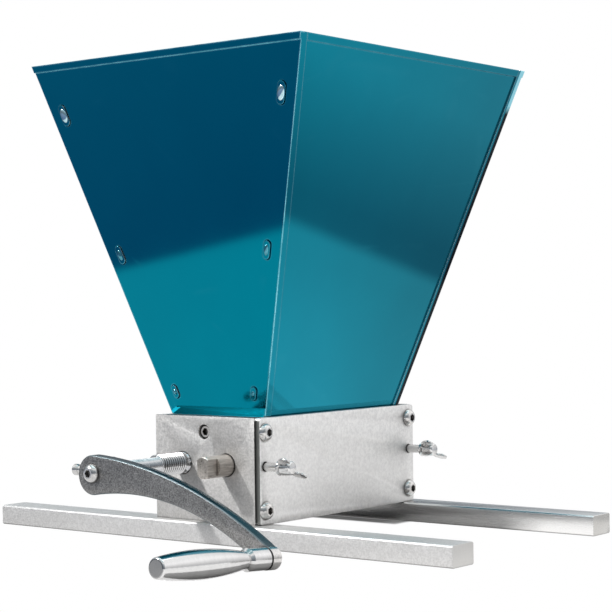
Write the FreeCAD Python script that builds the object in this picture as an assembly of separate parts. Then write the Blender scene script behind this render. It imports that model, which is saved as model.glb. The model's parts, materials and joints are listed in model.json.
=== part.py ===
"""Hand-cranked two-roller grain mill with a sheet-metal hopper on a rail base.

Frame: +Z up, +Y along the rollers away from the crank, +X across the rollers towards the
gap adjusters. The origin lies on the resting plane, midway between the two rails.
Units are millimetres.
"""
import math
import os

import FreeCAD
import Part

V = FreeCAD.Vector
X_AXIS, Y_AXIS, Z_AXIS = V(1, 0, 0), V(0, 1, 0), V(0, 0, 1)

# Housing
housing_width = 80.0
housing_height = 61.0
end_plate_thickness = 10.0
side_plate_thickness = 4.0
side_plate_corner_radius = 2.0
left_lip = 2.0

# Base rails
rail_length = 342.0
rail_depth = 20.0
rail_height = 12.0
rail_overhang = 8.0
rail_shift_across = 4.0
rail_shift_back = 0.3
rail_edge_break = 0.8
rail_screw_offset = 15.0

# Rollers and shafts
axis_height = 33.3
roller_diameter = 32.0
roller_length = 127.0
roller_end_room = 2.5
roller_gap = 1.5
roller_flutes = 48
flute_depth = 0.7
roller_bore = 14.0
shoulder_diameter = 17.0
shoulder_clearance = 0.3
running_clearance = 0.05
drive_journal_diameter = 12.7
drive_end_diameter = 10.0
drive_collar_length = 2.5
drive_thread_length = 21.0
drive_thread_relief = 1.2
shaft_chamfer = 0.8
rear_shaft_recess = 1.0
shaft_hole_diameter = 13.6
outer_wall = 2.5
bush_outer_diameter = 18.0

# Gap adjusters
adjuster_body_diameter = 22.0
adjuster_stub_diameter = 12.7
adjuster_stub_reach = 20.5
adjuster_flat_width = 7.8
adjuster_flat_length = 8.0
adjuster_chamfer = 0.6
eccentricity = 1.0
idler_journal_diameter = 10.0
idler_journal_length = 5.6
idler_bore_depth = 6.2

# Crank
arm_reach = 69.0
arm_thickness = 6.0
arm_edge_break = 0.6
crank_drop = 37.2
crank_run = 124.0
big_end_radius = 11.1
big_end_shift = 0.3
big_end_drop = 1.0
small_end_radius = 5.8
upper_bow_radius = 254.0
lower_bow_radius = 155.0
hub_diameter = 16.0
hub_length = 12.0
hub_edge_break = 0.8
crank_set_screw_diameter = 5.0
crank_set_screw_head = 6.4
crank_set_screw_reach = 18.0
crank_set_screw_head_length = 4.5

# Hand grip
grip_lean = 3.7
grip_boss_diameter = 12.4
grip_boss_length = 7.0
grip_boss_proud = 0.5
grip_washer_thickness = 1.2
grip_washer_diameter = 11.8
grip_collar_diameter = 12.1
grip_collar_length = 13.0
grip_neck_diameter = 9.0
grip_neck_length = 1.5
grip_belly_diameter = 15.0
grip_belly_at = 48.0
grip_length = 80.0
grip_end_diameter = 10.8
grip_end_round = 1.2
spindle_diameter = 6.0
spindle_depth = 62.0
spindle_end_clearance = 1.0

# Hopper
sheet = 1.0
hopper_height = 209.0
hopper_top_width = 204.0
hopper_top_length = 225.0
hopper_neck_width = 70.0
neck_clearance = 0.1
neck_depth = 14.0
neck_rise = 0.3
hem_height = 4.0
return_width = 5.0
return_clearance = 0.2
edge_flange_width = 14.0
tab_edge_distance = 9.0
tab_proud = 0.8
tab_clearance = 0.4
tab_places = ((0.145, 5.2, 13.0), (0.545, 4.6, 11.0), (0.935, 4.0, 8.0))

# Fasteners: metric thread size, then head sizes
m6 = 6.0
m6_clearance = 6.6
m6_button_head = 10.5
m6_button_height = 3.3
m6_button_socket = 4.0
m6_cap_head = 10.0
m6_cap_height = 6.0
m6_cap_socket = 5.0
m5 = 5.0
m5_clearance = 5.5
m5_cap_head = 7.2
m5_cap_height = 4.0
m5_cap_socket = 4.0
m5_head_recess = 1.2
m5_nut_width = 8.0
m5_nut_height = 4.0
m4 = 4.0
m4_clearance = 4.5
m4_sunk_head = 7.5
m4_socket = 2.5
sunk_clearance = 0.05
left_screw_length = 14.0
counterbore_clearance = 0.5
hopper_counterbore_clearance = 0.7
side_screw_inset = 8.2
side_screw_length = 16.0
rail_screw_grip = 13.0
crank_bolt_length = 22.0
hopper_screw_drop = 9.0
socket_depth = 2.0

# Wing screws
wing_stem_diameter = 5.0
wing_stem_hole = 5.6
wing_hub_standoff = 10.5
wing_hub_length = 9.5
wing_hub_diameter = 9.6
wing_hub_top_diameter = 7.6
wing_span = 27.0
wing_thickness = 2.6
wing_rise = 5.0
wing_root_height = 6.0
wing_tip_radius = 3.6
wing_angle = -45.0
wing_tip_gap = 0.1

# Places worked out from the sizes above
housing_length = roller_length + 2 * (roller_end_room + end_plate_thickness)
plate_bottom = rail_height
plate_top = rail_height + housing_height
axis_z = rail_height + axis_height
end_face = housing_length / 2
end_inner = end_face - end_plate_thickness
end_mid = end_face - end_plate_thickness / 2
side_inner = housing_width / 2 - side_plate_thickness
half_centres = (roller_diameter + roller_gap) / 2
plate_centre = -side_plate_thickness / 2
drive_x = plate_centre - half_centres
adjuster_x = plate_centre + half_centres
left_plate_end = end_face - left_lip
left_screw_y = (end_inner + left_plate_end) / 2
idler_z = axis_z - eccentricity
seat_depth = end_plate_thickness - outer_wall
arm_back = -end_face - arm_reach
arm_front = arm_back - arm_thickness
grip_x = drive_x + crank_run
grip_z = axis_z - crank_drop
grip_root = V(grip_x, arm_front, grip_z)
grip_axis = V(0, -math.cos(math.radians(grip_lean)), math.sin(math.radians(grip_lean)))
hopper_top = plate_top + hopper_height
hopper_neck_length = 2 * (end_inner - neck_clearance)
side_screw_heights = (plate_bottom + side_screw_inset, plate_top - side_screw_inset)
hopper_screw_z = plate_top - hopper_screw_drop
hopper_screw_seat = end_face - m5_cap_height - m5_head_recess


def cylinder(diameter, start, direction, length):
    """Round bar from a start point along a direction."""
    return Part.makeCylinder(diameter / 2, length, start, direction)


def polygon_face(points):
    return Part.Face(Part.makePolygon(list(points) + [points[0]]))


def hexagon(width, centre, direction, length):
    """Hexagonal prism, width across flats, from its centre along a direction."""
    radius = width / math.sqrt(3)
    flat = polygon_face(
        [V(radius * math.cos(k * math.pi / 3), radius * math.sin(k * math.pi / 3), 0) for k in range(6)]
    )
    prism = flat.extrude(V(0, 0, length))
    prism.Placement = FreeCAD.Placement(centre, FreeCAD.Rotation(Z_AXIS, direction))
    return prism


def turned(profile, centre, direction):
    """Solid of revolution: profile points are (distance along the axis, radius)."""
    points = [V(radius, 0, along) for along, radius in profile]
    closed = [V(0, 0, profile[0][0])] + points + [V(0, 0, profile[-1][0])]
    outline = [p for p, q in zip(closed, closed[1:] + closed[:1]) if p.distanceToPoint(q) > 1e-6]
    solid = polygon_face(outline).revolve(V(0, 0, 0), Z_AXIS, 360)
    solid.Placement = FreeCAD.Placement(centre, FreeCAD.Rotation(Z_AXIS, direction))
    return solid


def button_screw(seat, outward, length):
    """Dome-headed socket screw: seat is the head's bearing point, outward points out of the work."""
    rim = 0.6
    base = m6_button_head / 2
    top = m6_button_socket / 2 + 0.9
    dome = Part.Arc(
        V(base, 0, rim),
        V(base * 0.84, 0, rim + (m6_button_height - rim) * 0.62),
        V(top, 0, m6_button_height),
    )
    edges = [
        Part.LineSegment(V(0, 0, -length), V(m6 / 2, 0, -length)),
        Part.LineSegment(V(m6 / 2, 0, -length), V(m6 / 2, 0, 0)),
        Part.LineSegment(V(m6 / 2, 0, 0), V(base, 0, 0)),
        Part.LineSegment(V(base, 0, 0), V(base, 0, rim)),
        dome,
        Part.LineSegment(V(top, 0, m6_button_height), V(0, 0, m6_button_height)),
        Part.LineSegment(V(0, 0, m6_button_height), V(0, 0, -length)),
    ]
    solid = Part.Face(Part.Wire([e.toShape() for e in edges])).revolve(V(0, 0, 0), Z_AXIS, 360)
    socket = hexagon(m6_button_socket, V(0, 0, m6_button_height - socket_depth), Z_AXIS, socket_depth + 1)
    solid = solid.cut(socket)
    solid.Placement = FreeCAD.Placement(seat, FreeCAD.Rotation(Z_AXIS, outward))
    return solid


def cap_screw(seat, outward, thread, head, height, socket, length):
    """Cylinder-headed socket screw seated at the bottom of its counterbore."""
    rim = 0.4
    solid = turned(
        [(-length, thread / 2), (0, thread / 2), (0, head / 2), (height - rim, head / 2),
         (height, head / 2 - rim)],
        V(0, 0, 0),
        Z_AXIS,
    )
    solid = solid.cut(hexagon(socket, V(0, 0, height - height / 2), Z_AXIS, height))
    solid.Placement = FreeCAD.Placement(seat, FreeCAD.Rotation(Z_AXIS, outward))
    return solid


def sunk_screw(seat, outward):
    """Countersunk socket screw whose head ends flush; seat is the middle of its head."""
    depth = (m4_sunk_head - m4) / 2
    profile = [(-left_screw_length, m4 / 2), (-depth, m4 / 2), (0, m4_sunk_head / 2)]
    solid = turned(profile, V(0, 0, 0), Z_AXIS)
    solid = solid.cut(hexagon(m4_socket, V(0, 0, -depth), Z_AXIS, depth + 1))
    solid.Placement = FreeCAD.Placement(seat, FreeCAD.Rotation(Z_AXIS, outward))
    return solid


def sunk_hole(seat, outward):
    """Clearance hole and countersink for one countersunk screw."""
    rim = m4_sunk_head / 2 + 2 * sunk_clearance
    neck = m4_clearance / 2
    return turned(
        [(-side_plate_thickness - 1, neck), (neck - rim, neck), (0, rim), (1, rim + 1)], seat, outward,
    )


def end_plate(side):
    """Front (side -1) or rear (side +1) plate with its bearing seats and screw holes."""
    outward = V(0, side, 0)
    plate = Part.makeBox(
        housing_width / 2 + side_inner, end_plate_thickness, housing_height,
        V(-housing_width / 2, min(side * end_inner, side * end_face), plate_bottom),
    )
    inner = side * (end_inner - 1)
    rebate = Part.makeBox(
        side_plate_thickness + 1, left_plate_end - end_inner + 1, housing_height + 2,
        V(-housing_width / 2 - 1, min(inner, side * left_plate_end), plate_bottom - 1),
    )
    plate = plate.cut(rebate)
    adjuster_seat = adjuster_body_diameter + 2 * running_clearance
    for x, seat in ((drive_x, bush_outer_diameter), (adjuster_x, adjuster_seat)):
        start = V(x, inner, axis_z)
        plate = plate.cut(cylinder(shaft_hole_diameter, start, outward, end_plate_thickness + 2))
        plate = plate.cut(cylinder(seat, start, outward, seat_depth + 1))
    screw_hole = V(plate_centre, inner, hopper_screw_z)
    plate = plate.cut(cylinder(m5_clearance, screw_hole, outward, end_plate_thickness + 2))
    head_hole = V(plate_centre, side * hopper_screw_seat, hopper_screw_z)
    plate = plate.cut(
        cylinder(m5_cap_head + 2 * hopper_counterbore_clearance, head_hole, outward, end_plate_thickness)
    )
    for z in side_screw_heights:
        right, left = V(side_inner, side * end_mid, z), V(-side_inner, side * left_screw_y, z)
        plate = plate.cut(cylinder(m6, right, V(-1, 0, 0), side_screw_length - side_plate_thickness))
        plate = plate.cut(cylinder(m4, left, X_AXIS, left_screw_length - side_plate_thickness))
    tip = adjuster_x + adjuster_body_diameter / 2 - 1
    wing_bore = wing_stem_diameter + 2 * running_clearance
    plate = plate.cut(cylinder(wing_bore, V(tip, side * end_mid, axis_z), X_AXIS, side_inner - tip + 1))
    for x in (-rail_screw_offset, rail_screw_offset):
        plate = plate.cut(cylinder(m6, V(x, side * end_mid, plate_bottom), Z_AXIS, rail_screw_grip))
    return plate


def right_side_plate():
    """Right cover plate over the end plates' edges, with holes for its screws and the wing screws."""
    plate = Part.makeBox(
        side_plate_thickness, housing_length, housing_height, V(side_inner, -end_face, plate_bottom)
    )
    corners = [e for e in plate.Edges if abs(e.tangentAt(e.FirstParameter).x) > 0.9]
    plate = plate.makeFillet(side_plate_corner_radius, corners)
    holes = [(z, m6_clearance) for z in side_screw_heights] + [(axis_z, wing_stem_hole)]
    for y in (-end_mid, end_mid):
        for z, hole in holes:
            plate = plate.cut(cylinder(hole, V(side_inner - 1, y, z), X_AXIS, side_plate_thickness + 2))
    return plate


def left_side_plate():
    """Left cover plate, let into the end plates' rebates so that its edges don't show."""
    plate = Part.makeBox(
        side_plate_thickness, 2 * left_plate_end, housing_height,
        V(-housing_width / 2, -left_plate_end, plate_bottom),
    )
    for seat in left_screw_seats():
        plate = plate.cut(sunk_hole(seat, V(-1, 0, 0)))
    return plate


def left_screw_seats():
    return [V(-housing_width / 2, y, z) for y in (-left_screw_y, left_screw_y) for z in side_screw_heights]


def left_side_screws():
    """The four countersunk screws that hold the left plate in its rebates."""
    sunk = V(2 * sunk_clearance, 0, 0)
    return Part.makeCompound([sunk_screw(seat + sunk, V(-1, 0, 0)) for seat in left_screw_seats()])


def right_side_screws():
    """The four dome screws that hold the right plate to the end plates."""
    seats = [V(housing_width / 2, y, z) for y in (-end_mid, end_mid) for z in side_screw_heights]
    return Part.makeCompound([button_screw(seat, X_AXIS, side_screw_length) for seat in seats])


def rail(side):
    """Base bar under one end plate, counterbored from below for its screws."""
    outer = end_face + rail_overhang
    low = min(side * outer, side * (outer - rail_depth)) + rail_shift_back
    bar = Part.makeBox(rail_length, rail_depth, rail_height, V(rail_shift_across - rail_length / 2, low, 0))
    long_edges = [e for e in bar.Edges if abs(e.tangentAt(e.FirstParameter).x) > 0.9]
    bar = bar.makeChamfer(rail_edge_break, long_edges)
    for x in (-rail_screw_offset, rail_screw_offset):
        centre = V(x, side * end_mid, -1)
        bar = bar.cut(cylinder(m6_clearance, centre, Z_AXIS, rail_height + 2))
        bar = bar.cut(
            cylinder(m6_cap_head + 2 * counterbore_clearance, centre, Z_AXIS,
                     1 + m6_cap_height + counterbore_clearance)
        )
    return bar


def rail_screws():
    """Cap screws that hold the rails up against the end plates."""
    seat_z = m6_cap_height + counterbore_clearance
    length = rail_height - seat_z + rail_screw_grip - 1
    screws = [
        cap_screw(V(x, y, seat_z), V(0, 0, -1), m6, m6_cap_head, m6_cap_height, m6_cap_socket, length)
        for x in (-rail_screw_offset, rail_screw_offset)
        for y in (-end_mid, end_mid)
    ]
    return Part.makeCompound(screws)


def drive_bush(side):
    """Plain bearing pressed into the inner side of an end plate."""
    outward = V(0, side, 0)
    start = V(drive_x, side * end_inner, axis_z)
    ring = cylinder(bush_outer_diameter, start, outward, seat_depth)
    return ring.cut(
        cylinder(drive_journal_diameter + 2 * running_clearance, start - outward, outward, seat_depth + 2)
    )


def adjuster(side):
    """Eccentric gap adjuster: bearing body, turning stub and two spanner flats."""
    outward = V(0, side, 0)
    start = V(adjuster_x, side * end_inner, axis_z)
    stub_end = end_plate_thickness + adjuster_stub_reach
    body = turned(
        [
            (0, adjuster_body_diameter / 2),
            (seat_depth - running_clearance, adjuster_body_diameter / 2),
            (seat_depth - running_clearance, adjuster_stub_diameter / 2),
            (stub_end - adjuster_chamfer, adjuster_stub_diameter / 2),
            (stub_end, adjuster_stub_diameter / 2 - adjuster_chamfer),
        ],
        start,
        outward,
    )
    bore = cylinder(
        idler_journal_diameter + 2 * running_clearance,
        V(adjuster_x, side * (end_inner - 1), idler_z), outward, idler_bore_depth + 1,
    )
    body = body.cut(bore)
    flat_start = side * (end_inner + stub_end - adjuster_flat_length)
    low_y = min(flat_start, flat_start + side * (adjuster_flat_length + 1))
    half = adjuster_flat_width / 2
    for low_x in (adjuster_x + half, adjuster_x - half - adjuster_stub_diameter):
        block = Part.makeBox(
            adjuster_stub_diameter, adjuster_flat_length + 1, adjuster_stub_diameter,
            V(low_x, low_y, axis_z - adjuster_stub_diameter / 2),
        )
        body = body.cut(block)
    return body


def fluted_roller(x, z):
    """Crushing roller: a tube whose surface is cut into sharp lengthwise flutes."""
    tip, root = roller_diameter / 2, roller_diameter / 2 - flute_depth
    step = math.pi / roller_flutes
    points = []
    for k in range(2 * roller_flutes):
        radius = tip if k % 2 == 0 else root
        points.append(V(x + radius * math.cos(k * step), -roller_length / 2, z + radius * math.sin(k * step)))
    body = polygon_face(points).extrude(V(0, roller_length, 0))
    return body.cut(cylinder(roller_bore, V(x, -roller_length / 2 - 1, z), Y_AXIS, roller_length + 2))


def drive_shaft():
    """Stepped shaft: bearing journals, threaded stretch and slim driving end."""
    shoulder = end_inner - shoulder_clearance
    thread_end = end_face + drive_collar_length + drive_thread_length
    journal, slim = drive_journal_diameter / 2, drive_end_diameter / 2
    shaft = turned(
        [
            (-end_face + rear_shaft_recess, journal - shaft_chamfer),
            (-end_face + rear_shaft_recess + shaft_chamfer, journal),
            (-shoulder, journal),
            (-shoulder, shoulder_diameter / 2),
            (-roller_length / 2, shoulder_diameter / 2),
            (-roller_length / 2, roller_bore / 2),
            (roller_length / 2, roller_bore / 2),
            (roller_length / 2, shoulder_diameter / 2),
            (shoulder, shoulder_diameter / 2),
            (shoulder, journal),
            (end_face + drive_collar_length - drive_thread_relief, journal),
            (end_face + drive_collar_length, journal - shaft_chamfer),
            (end_face + drive_collar_length + shaft_chamfer, journal),
            (thread_end - shaft_chamfer, journal),
            (thread_end, journal - shaft_chamfer),
            (thread_end, slim),
            (end_face + arm_reach, slim),
        ],
        V(drive_x, 0, axis_z),
        V(0, -1, 0),
    )
    bolt_hole = cylinder(m6, V(drive_x, arm_back, axis_z), Y_AXIS, crank_bolt_length - arm_thickness)
    return shaft.cut(bolt_hole)


def idler_shaft():
    """Idle roller's shaft, carried at each end in an eccentric adjuster."""
    shoulder = end_inner - shoulder_clearance
    tip = end_inner + idler_journal_length
    journal = idler_journal_diameter / 2
    half = [
        (roller_length / 2, roller_bore / 2),
        (roller_length / 2, shoulder_diameter / 2),
        (shoulder, shoulder_diameter / 2),
        (shoulder, journal),
        (tip - shaft_chamfer, journal),
        (tip, journal - shaft_chamfer),
    ]
    profile = [(-along, radius) for along, radius in reversed(half)] + half
    return turned(profile, V(adjuster_x, 0, idler_z), Y_AXIS)


def crank_hub():
    """Collar behind the crank arm, cross-drilled for its set screw."""
    hub = turned(
        [(0, hub_diameter / 2), (hub_length - hub_edge_break, hub_diameter / 2),
         (hub_length, hub_diameter / 2 - hub_edge_break)],
        V(drive_x, arm_back, axis_z), Y_AXIS,
    )
    hub = hub.cut(cylinder(drive_end_diameter, V(drive_x, arm_back - 1, axis_z), Y_AXIS, hub_length + 2))
    middle = V(drive_x, arm_back + hub_length / 2, axis_z)
    return hub.cut(cylinder(crank_set_screw_diameter, middle, V(-1, 0, 0), hub_diameter))


def crank_set_screw():
    """Thumb screw that locks the hub to the shaft."""
    middle = V(drive_x, arm_back + hub_length / 2, axis_z)
    tip = drive_end_diameter / 2
    head_start = hub_diameter / 2 + crank_set_screw_reach - crank_set_screw_head_length
    head_end = hub_diameter / 2 + crank_set_screw_reach
    stem, head = crank_set_screw_diameter / 2, crank_set_screw_head / 2
    profile = [
        (tip, stem), (head_start, stem), (head_start, head - 0.6), (head_start + 0.9, head),
        (head_end - 1.2, head), (head_end, head - 1.4),
    ]
    return turned(profile, middle, V(-1, 0, 0))


def touching_arc(big, small, radius, sign):
    """Outline arc tangent to both end circles; sign is -1 when it wraps them, +1 when it passes below."""
    (x1, z1, r1), (x2, z2, r2) = big, small
    d1, d2 = radius + sign * r1, radius + sign * r2
    gap = math.hypot(x2 - x1, z2 - z1)
    ux, uz = (x2 - x1) / gap, (z2 - z1) / gap
    along = (d1 * d1 - d2 * d2 + gap * gap) / (2 * gap)
    across = math.sqrt(d1 * d1 - along * along)
    centre = (x1 + along * ux + across * uz, z1 + along * uz - across * ux)

    def on_arc(x, z):
        reach = math.hypot(x - centre[0], z - centre[1])
        return centre[0] + radius * (x - centre[0]) / reach, centre[1] + radius * (z - centre[1]) / reach

    return on_arc(x1, z1), on_arc((x1 + x2) / 2, (z1 + z2) / 2), on_arc(x2, z2)


def crank_arm():
    """Bowed flat arm with a broad shaft end and a narrow grip end."""
    big = (big_end_shift, -big_end_drop, big_end_radius)
    small = (crank_run, -crank_drop, small_end_radius)
    tip_lean = math.radians(-20)
    tip = (crank_run + small_end_radius * math.cos(tip_lean),
           -crank_drop + small_end_radius * math.sin(tip_lean))
    butt = (big_end_shift - big_end_radius, -big_end_drop)
    upper = touching_arc(big, small, upper_bow_radius, -1)
    lower = touching_arc(big, small, lower_bow_radius, 1)

    def arc(*places):
        return Part.Arc(*[V(drive_x + run, arm_front, axis_z + rise) for run, rise in places]).toShape()

    outline = Part.Wire(
        [arc(*upper), arc(upper[2], tip, lower[2]), arc(*reversed(lower)), arc(lower[0], butt, upper[0])]
    )
    arm = Part.Face(outline).extrude(V(0, arm_thickness, 0))
    arm = arm.makeChamfer(arm_edge_break, [e for e in arm.Edges if abs(e.BoundBox.YMax - arm_front) < 1e-6])
    arm = arm.cut(cylinder(m6, V(drive_x, arm_front - 1, axis_z), Y_AXIS, arm_thickness + 2))
    return arm.cut(cylinder(grip_boss_diameter, grip_root - grip_axis * 20, grip_axis, 40))


def grip_boss():
    """Turned boss let into the arm's narrow end, which sets the grip's lean."""
    edge = 0.5
    back = grip_boss_proud - grip_boss_length
    radius = grip_boss_diameter / 2
    boss = turned(
        [(back, radius - edge), (back + edge, radius), (grip_boss_proud, radius)], grip_root, grip_axis
    )
    return boss.cut(cylinder(spindle_diameter, grip_root - grip_axis * 20, grip_axis, 40))


def grip_spindle():
    """Pin pressed through the boss, on which the hand grip turns."""
    back = grip_boss_proud - grip_boss_length
    tip = grip_boss_proud + grip_washer_thickness + spindle_depth
    radius, edge = spindle_diameter / 2, 0.6
    profile = [(back, radius - edge), (back + edge, radius), (tip - edge, radius), (tip, radius - edge)]
    return turned(profile, grip_root, grip_axis)


def grip_washer():
    start = grip_root + grip_axis * grip_boss_proud
    ring = cylinder(grip_washer_diameter, start, grip_axis, grip_washer_thickness)
    return ring.cut(cylinder(spindle_diameter, start - grip_axis, grip_axis, grip_washer_thickness + 2))


def hand_grip():
    """Turned grip: collar, neck, swelling belly and rounded end, bored blind for the spindle."""
    collar, neck, belly = grip_collar_diameter / 2, grip_neck_diameter / 2, grip_belly_diameter / 2
    end = grip_end_diameter / 2
    neck_end = grip_collar_length + grip_neck_length
    round_start = grip_length - grip_end_round
    edges = [
        Part.LineSegment(V(0, 0, running_clearance), V(collar, 0, running_clearance)),
        Part.LineSegment(V(collar, 0, running_clearance), V(collar, 0, grip_collar_length)),
        Part.LineSegment(V(collar, 0, grip_collar_length), V(neck, 0, neck_end)),
        Part.Arc(V(neck, 0, neck_end), V(belly, 0, grip_belly_at), V(end, 0, round_start)),
        Part.Arc(
            V(end, 0, round_start),
            V(end - grip_end_round * 0.35, 0, grip_length - grip_end_round * 0.3),
            V(end - grip_end_round, 0, grip_length),
        ),
        Part.LineSegment(V(end - grip_end_round, 0, grip_length), V(0, 0, grip_length)),
        Part.LineSegment(V(0, 0, grip_length), V(0, 0, running_clearance)),
    ]
    grip = Part.Face(Part.Wire([e.toShape() for e in edges])).revolve(V(0, 0, 0), Z_AXIS, 360)
    grip = grip.cut(
        cylinder(spindle_diameter + 2 * running_clearance, V(0, 0, -1), Z_AXIS,
                 1 + spindle_depth + spindle_end_clearance)
    )
    start = grip_root + grip_axis * (grip_boss_proud + grip_washer_thickness)
    grip.Placement = FreeCAD.Placement(start, FreeCAD.Rotation(Z_AXIS, grip_axis))
    return grip


def wing_screw(side):
    """Butterfly screw that locks an adjuster from the right side plate."""
    tip = adjuster_x + adjuster_body_diameter / 2 + wing_tip_gap
    hub_start = housing_width / 2 + wing_hub_standoff
    stem_length = hub_start - tip
    stem, hub, top = wing_stem_diameter / 2, wing_hub_diameter / 2, wing_hub_top_diameter / 2
    body = turned(
        [(0, stem - 0.6), (0.6, stem), (stem_length, stem), (stem_length, hub - 0.5), (stem_length + 0.5, hub),
         (stem_length + wing_hub_length - 0.7, top), (stem_length + wing_hub_length, top - 0.7)],
        V(0, 0, 0), Z_AXIS,
    )
    half, crown = wing_span / 2, stem_length + wing_hub_length + wing_rise
    shoulder = half - 2 * wing_tip_radius * 0.85
    root_low, root_high = stem_length + 1.2, stem_length + 1.2 + wing_root_height
    for flank in (-1, 1):
        def at(across, along):
            return V(flank * across, -wing_thickness / 2, along)
        edges = [
            Part.LineSegment(at(0, root_low), at(top, root_low)),
            Part.Arc(at(top, root_low), at(half * 0.72, root_low + 2.4), at(half, crown - wing_tip_radius)),
            Part.Arc(at(half, crown - wing_tip_radius), at(half - wing_tip_radius * 0.7, crown),
                     at(shoulder, crown - wing_tip_radius * 0.6)),
            Part.Arc(at(shoulder, crown - wing_tip_radius * 0.6),
                     at((shoulder + top) / 2, root_high + 0.4), at(top * 0.6, root_high)),
            Part.LineSegment(at(top * 0.6, root_high), at(0, root_high)),
            Part.LineSegment(at(0, root_high), at(0, root_low)),
        ]
        wing = Part.Face(Part.Wire([e.toShape() for e in edges])).extrude(V(0, wing_thickness, 0))
        body = body.fuse(wing)
    body = body.removeSplitter()
    turn = FreeCAD.Rotation(X_AXIS, wing_angle).multiply(FreeCAD.Rotation(V(0, 0, 1), V(1, 0, 0)))
    lie_flat = FreeCAD.Rotation(Z_AXIS, 90)
    body.Placement = FreeCAD.Placement(V(tip, side * end_mid, axis_z), turn.multiply(lie_flat))
    return body


def wall_profile(neck_half, top_half, inset, thick):
    """Section of one hopper wall: (outward, height) points of its neck and slope, inset from outside."""
    low, bend = plate_top - neck_depth, plate_top + neck_rise
    slope = (top_half - neck_half) / (hopper_top - bend)
    stretch = math.sqrt(1 + slope * slope)

    def face(depth):
        lift = depth * (stretch - 1) / slope
        top = (top_half - depth * stretch, hopper_top)
        return [(neck_half - depth, low), (neck_half - depth, bend + lift), top]

    return face(inset) + face(inset + thick)[::-1]


def wall_y(side, inset, thick):
    """Bent sheet across the hopper's end, over its full width."""
    section = wall_profile(hopper_neck_length / 2, hopper_top_length / 2, inset, thick)
    points = [V(-hopper_top_width, side * out, z) for out, z in section]
    return polygon_face(points).extrude(V(2 * hopper_top_width, 0, 0))


def wall_x(side, inset, thick):
    """Bent sheet along the hopper's side, over its full length."""
    section = wall_profile(hopper_neck_width / 2, hopper_top_width / 2, inset, thick)
    points = [V(side * out, -hopper_top_length, z) for out, z in section]
    return polygon_face(points).extrude(V(0, 2 * hopper_top_length, 0))


def inside_x(inset):
    """Everything between the two long sides, inset from their outer faces."""
    section = wall_profile(hopper_neck_width / 2, hopper_top_width / 2, inset, sheet)[:3]
    points = [V(out, -hopper_top_length, z) for out, z in section]
    points += [V(-out, -hopper_top_length, z) for out, z in reversed(section)]
    return polygon_face(points).extrude(V(0, 2 * hopper_top_length, 0))


def inside_y(inset):
    """Everything between the two ends, inset from their outer faces."""
    section = wall_profile(hopper_neck_length / 2, hopper_top_length / 2, inset, sheet)[:3]
    points = [V(-hopper_top_width, out, z) for out, z in section]
    points += [V(-hopper_top_width, -out, z) for out, z in reversed(section)]
    return polygon_face(points).extrude(V(2 * hopper_top_width, 0, 0))


def tab_shapes(x_side, y_side, grow, start, length):
    """Round-ended tab blanks for one hopper corner, square to the sloping end wall."""
    bend = plate_top + neck_rise
    end_slope = (hopper_top_length - hopper_neck_length) / 2 / (hopper_top - bend)
    side_slope = (hopper_top_width - hopper_neck_width) / 2 / (hopper_top - bend)
    normal = V(0, y_side, -end_slope).normalize()
    shapes = []
    for share, width, height in tab_places:
        z = hopper_top - share * hopper_height
        up = z - bend
        centre = V(
            x_side * (hopper_neck_width / 2 + side_slope * up - tab_edge_distance),
            y_side * (hopper_neck_length / 2 + end_slope * up), z,
        )
        half, run = width / 2 + grow, (height - width) / 2
        along = V(x_side * side_slope, y_side * end_slope, 1).normalize()
        across = along.cross(normal).normalize()
        a, b = centre + along * run, centre - along * run
        outline = Part.Wire(
            [
                Part.LineSegment(b + across * half, a + across * half).toShape(),
                Part.Arc(a + across * half, a + along * half, a - across * half).toShape(),
                Part.LineSegment(a - across * half, b - across * half).toShape(),
                Part.Arc(b - across * half, b - along * half, b + across * half).toShape(),
            ]
        )
        blank = Part.Face(outline).extrude(normal * length)
        blank.translate(normal * start)
        shapes.append(blank)
    return shapes


def above(height):
    """Everything over a height, for trimming hopper sheets."""
    span = 4 * hopper_top_length
    return Part.makeBox(span, span, span, V(-span / 2, -span / 2, height))


def hopper_end(y_side):
    """Front or rear hopper panel: hemmed top, returns round the side panels, tab slots and a neck hole."""
    sheet_full = wall_y(y_side, 0, sheet)
    panel = sheet_full.common(inside_x(0))
    wrap = sheet_full.common(inside_x(-sheet))
    for x_side in (-1, 1):
        edge = wall_x(x_side, -sheet, sheet).common(inside_y(0)).cut(inside_y(return_width))
        wrap = wrap.fuse(edge.common(half_space(Y_AXIS * y_side)))
    hem = wall_y(y_side, -sheet, sheet).common(inside_x(-sheet)).common(above(hopper_top - hem_height))
    panel = panel.fuse(wrap.common(above(plate_top + neck_rise))).fuse(hem).removeSplitter()
    for x_side in (-1, 1):
        for slot in tab_shapes(x_side, y_side, tab_clearance, -3 * sheet, 6 * sheet):
            panel = panel.cut(slot)
    start = V(plate_centre, y_side * (end_inner - 4), hopper_screw_z)
    return panel.cut(cylinder(m5_clearance, start, V(0, y_side, 0), 8))


def half_space(direction):
    """Everything on one side of the middle plane square to a direction."""
    span = 4 * hopper_top_length
    block = Part.makeBox(span, span, 2 * span, V(-span / 2, -span / 2, 0))
    block.translate(V(0, 0, -span))
    block.translate(direction * (span / 2))
    return block


def hopper_side(x_side):
    """Left or right hopper panel: hemmed top and edge flanges whose tabs reach through the end panels."""
    panel = wall_x(x_side, 0, sheet).common(inside_y(sheet))
    hem = wall_x(x_side, -sheet, sheet).common(inside_y(return_width + return_clearance))
    panel = panel.fuse(hem.common(above(hopper_top - hem_height)))
    for y_side in (-1, 1):
        flange = wall_y(y_side, sheet, sheet).common(inside_x(0)).cut(inside_x(edge_flange_width))
        panel = panel.fuse(flange.common(half_space(X_AXIS * x_side)))
        for tab in tab_shapes(x_side, y_side, 0, -1.5 * sheet, 1.5 * sheet + tab_proud):
            panel = panel.fuse(tab)
    return panel.removeSplitter()


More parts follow.
